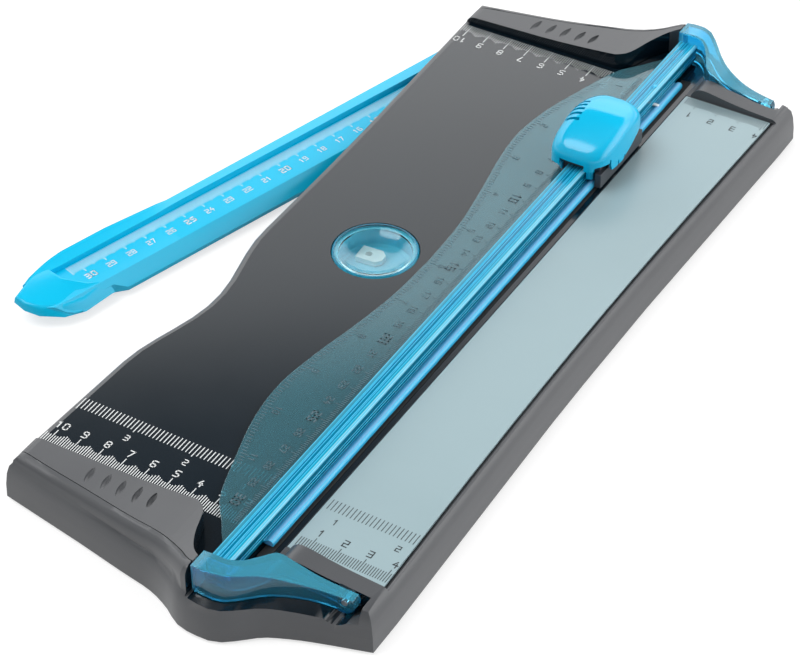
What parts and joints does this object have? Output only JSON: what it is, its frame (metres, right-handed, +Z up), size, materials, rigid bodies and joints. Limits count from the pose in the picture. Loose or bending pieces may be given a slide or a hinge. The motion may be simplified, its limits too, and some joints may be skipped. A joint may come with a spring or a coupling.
{
  "type": "rotary paper trimmer",
  "caption": "Desk paper trimmer: scaled deck, hinged guide rail with pressure plate, press-to-cut blade carriage, swing-out ruler arm and lidded blade store.",
  "frame": {"origin": "middle of the bounding box on the ground, with the ruler arm swung out as at rest", "axes": "+Z up from the deck, +Y along the cut line towards the carriage end, +X from the ruler arm side to the pale panel"},
  "size_m": [0.2134, 0.3868, 0.0413],
  "materials": {
    "grey_plastic": "fine satin dark grey moulding",
    "dark_plastic": "matt black moulding",
    "pale_panel": "satin pale blue grey sheet",
    "black_rubber": "matt black rubber",
    "turquoise_plastic": "glossy turquoise moulding",
    "white_plastic": "white moulding",
    "clear_blue": "clear blue moulding",
    "smoked_blue": "clear smoked blue sheet",
    "steel": "plain steel",
    "blade_steel": "ground and polished steel"
  },
  "bodies": {
    "base": {"base_housing": "grey_plastic", "near_end_cover": "grey_plastic", "far_end_cover": "grey_plastic", "bottom_plate": "dark_plastic", "measuring_panel": "pale_panel", "cutting_mat": "black_rubber", "storage_cup": "turquoise_plastic", "spare_cartridge": "white_plastic", "arm_pivot_screw": "steel", "arm_pivot_washer": "steel", "near_hinge_pin": "steel", "far_hinge_pin": "steel", "case_screw_1": "steel", "case_screw_2": "steel", "case_screw_3": "steel", "case_screw_4": "steel", "case_screw_5": "steel", "case_screw_6": "steel", "rubber_foot_1": "black_rubber", "rubber_foot_2": "black_rubber", "rubber_foot_3": "black_rubber", "rubber_foot_4": "black_rubber", "rubber_foot_5": "black_rubber", "rubber_foot_6": "black_rubber"},
    "rail": {"guide_rail": "clear_blue", "pressure_plate": "smoked_blue", "near_end_arm": "clear_blue", "far_end_arm": "clear_blue"},
    "carriage": {"carriage_base": "dark_plastic", "head_spring_near": "steel", "head_spring_far": "steel"},
    "head": {"head_cover": "turquoise_plastic", "blade_cartridge": "dark_plastic", "blade_axle": "steel"},
    "blade": {"rotary_blade": "blade_steel"},
    "ruler": {"ruler_arm": "turquoise_plastic"},
    "lid": {"storage_lid": "clear_blue"}
  },
  "joints": [
    {"name": "rail_lift", "type": "hinge", "parent": "base", "child": "rail", "pos_m": [0.09394, 0, 0.0164], "axis": [0, 1, 0], "range_deg": [0, 50]},
    {"name": "carriage_slide", "type": "slide", "parent": "rail", "child": "carriage", "axis": [0, 1, 0], "range_m": [-0.2415, 0.0485]},
    {"name": "head_press", "type": "slide", "parent": "carriage", "child": "head", "axis": [0, 0, -1], "range_m": [0, 0.0035], "stiffness_N_per_m": 300, "springref_m": -0.004, "deforming": ["head_spring_near", "head_spring_far"]},
    {"name": "blade_roll", "type": "hinge", "parent": "head", "child": "blade", "pos_m": [0.06019, 0.0965, 0.0287], "axis": [1, 0, 0], "continuous": true},
    {"name": "ruler_arm_swing", "type": "hinge", "parent": "base", "child": "ruler", "pos_m": [-0.02636, 0.14384, 0.0079], "axis": [0, 0, -1], "range_deg": [-16.5, 73.5]},
    {"name": "storage_lid_lift", "type": "slide", "parent": "base", "child": "lid", "axis": [0, 0, 1], "range_m": [0, 0.02]}
  ]
}
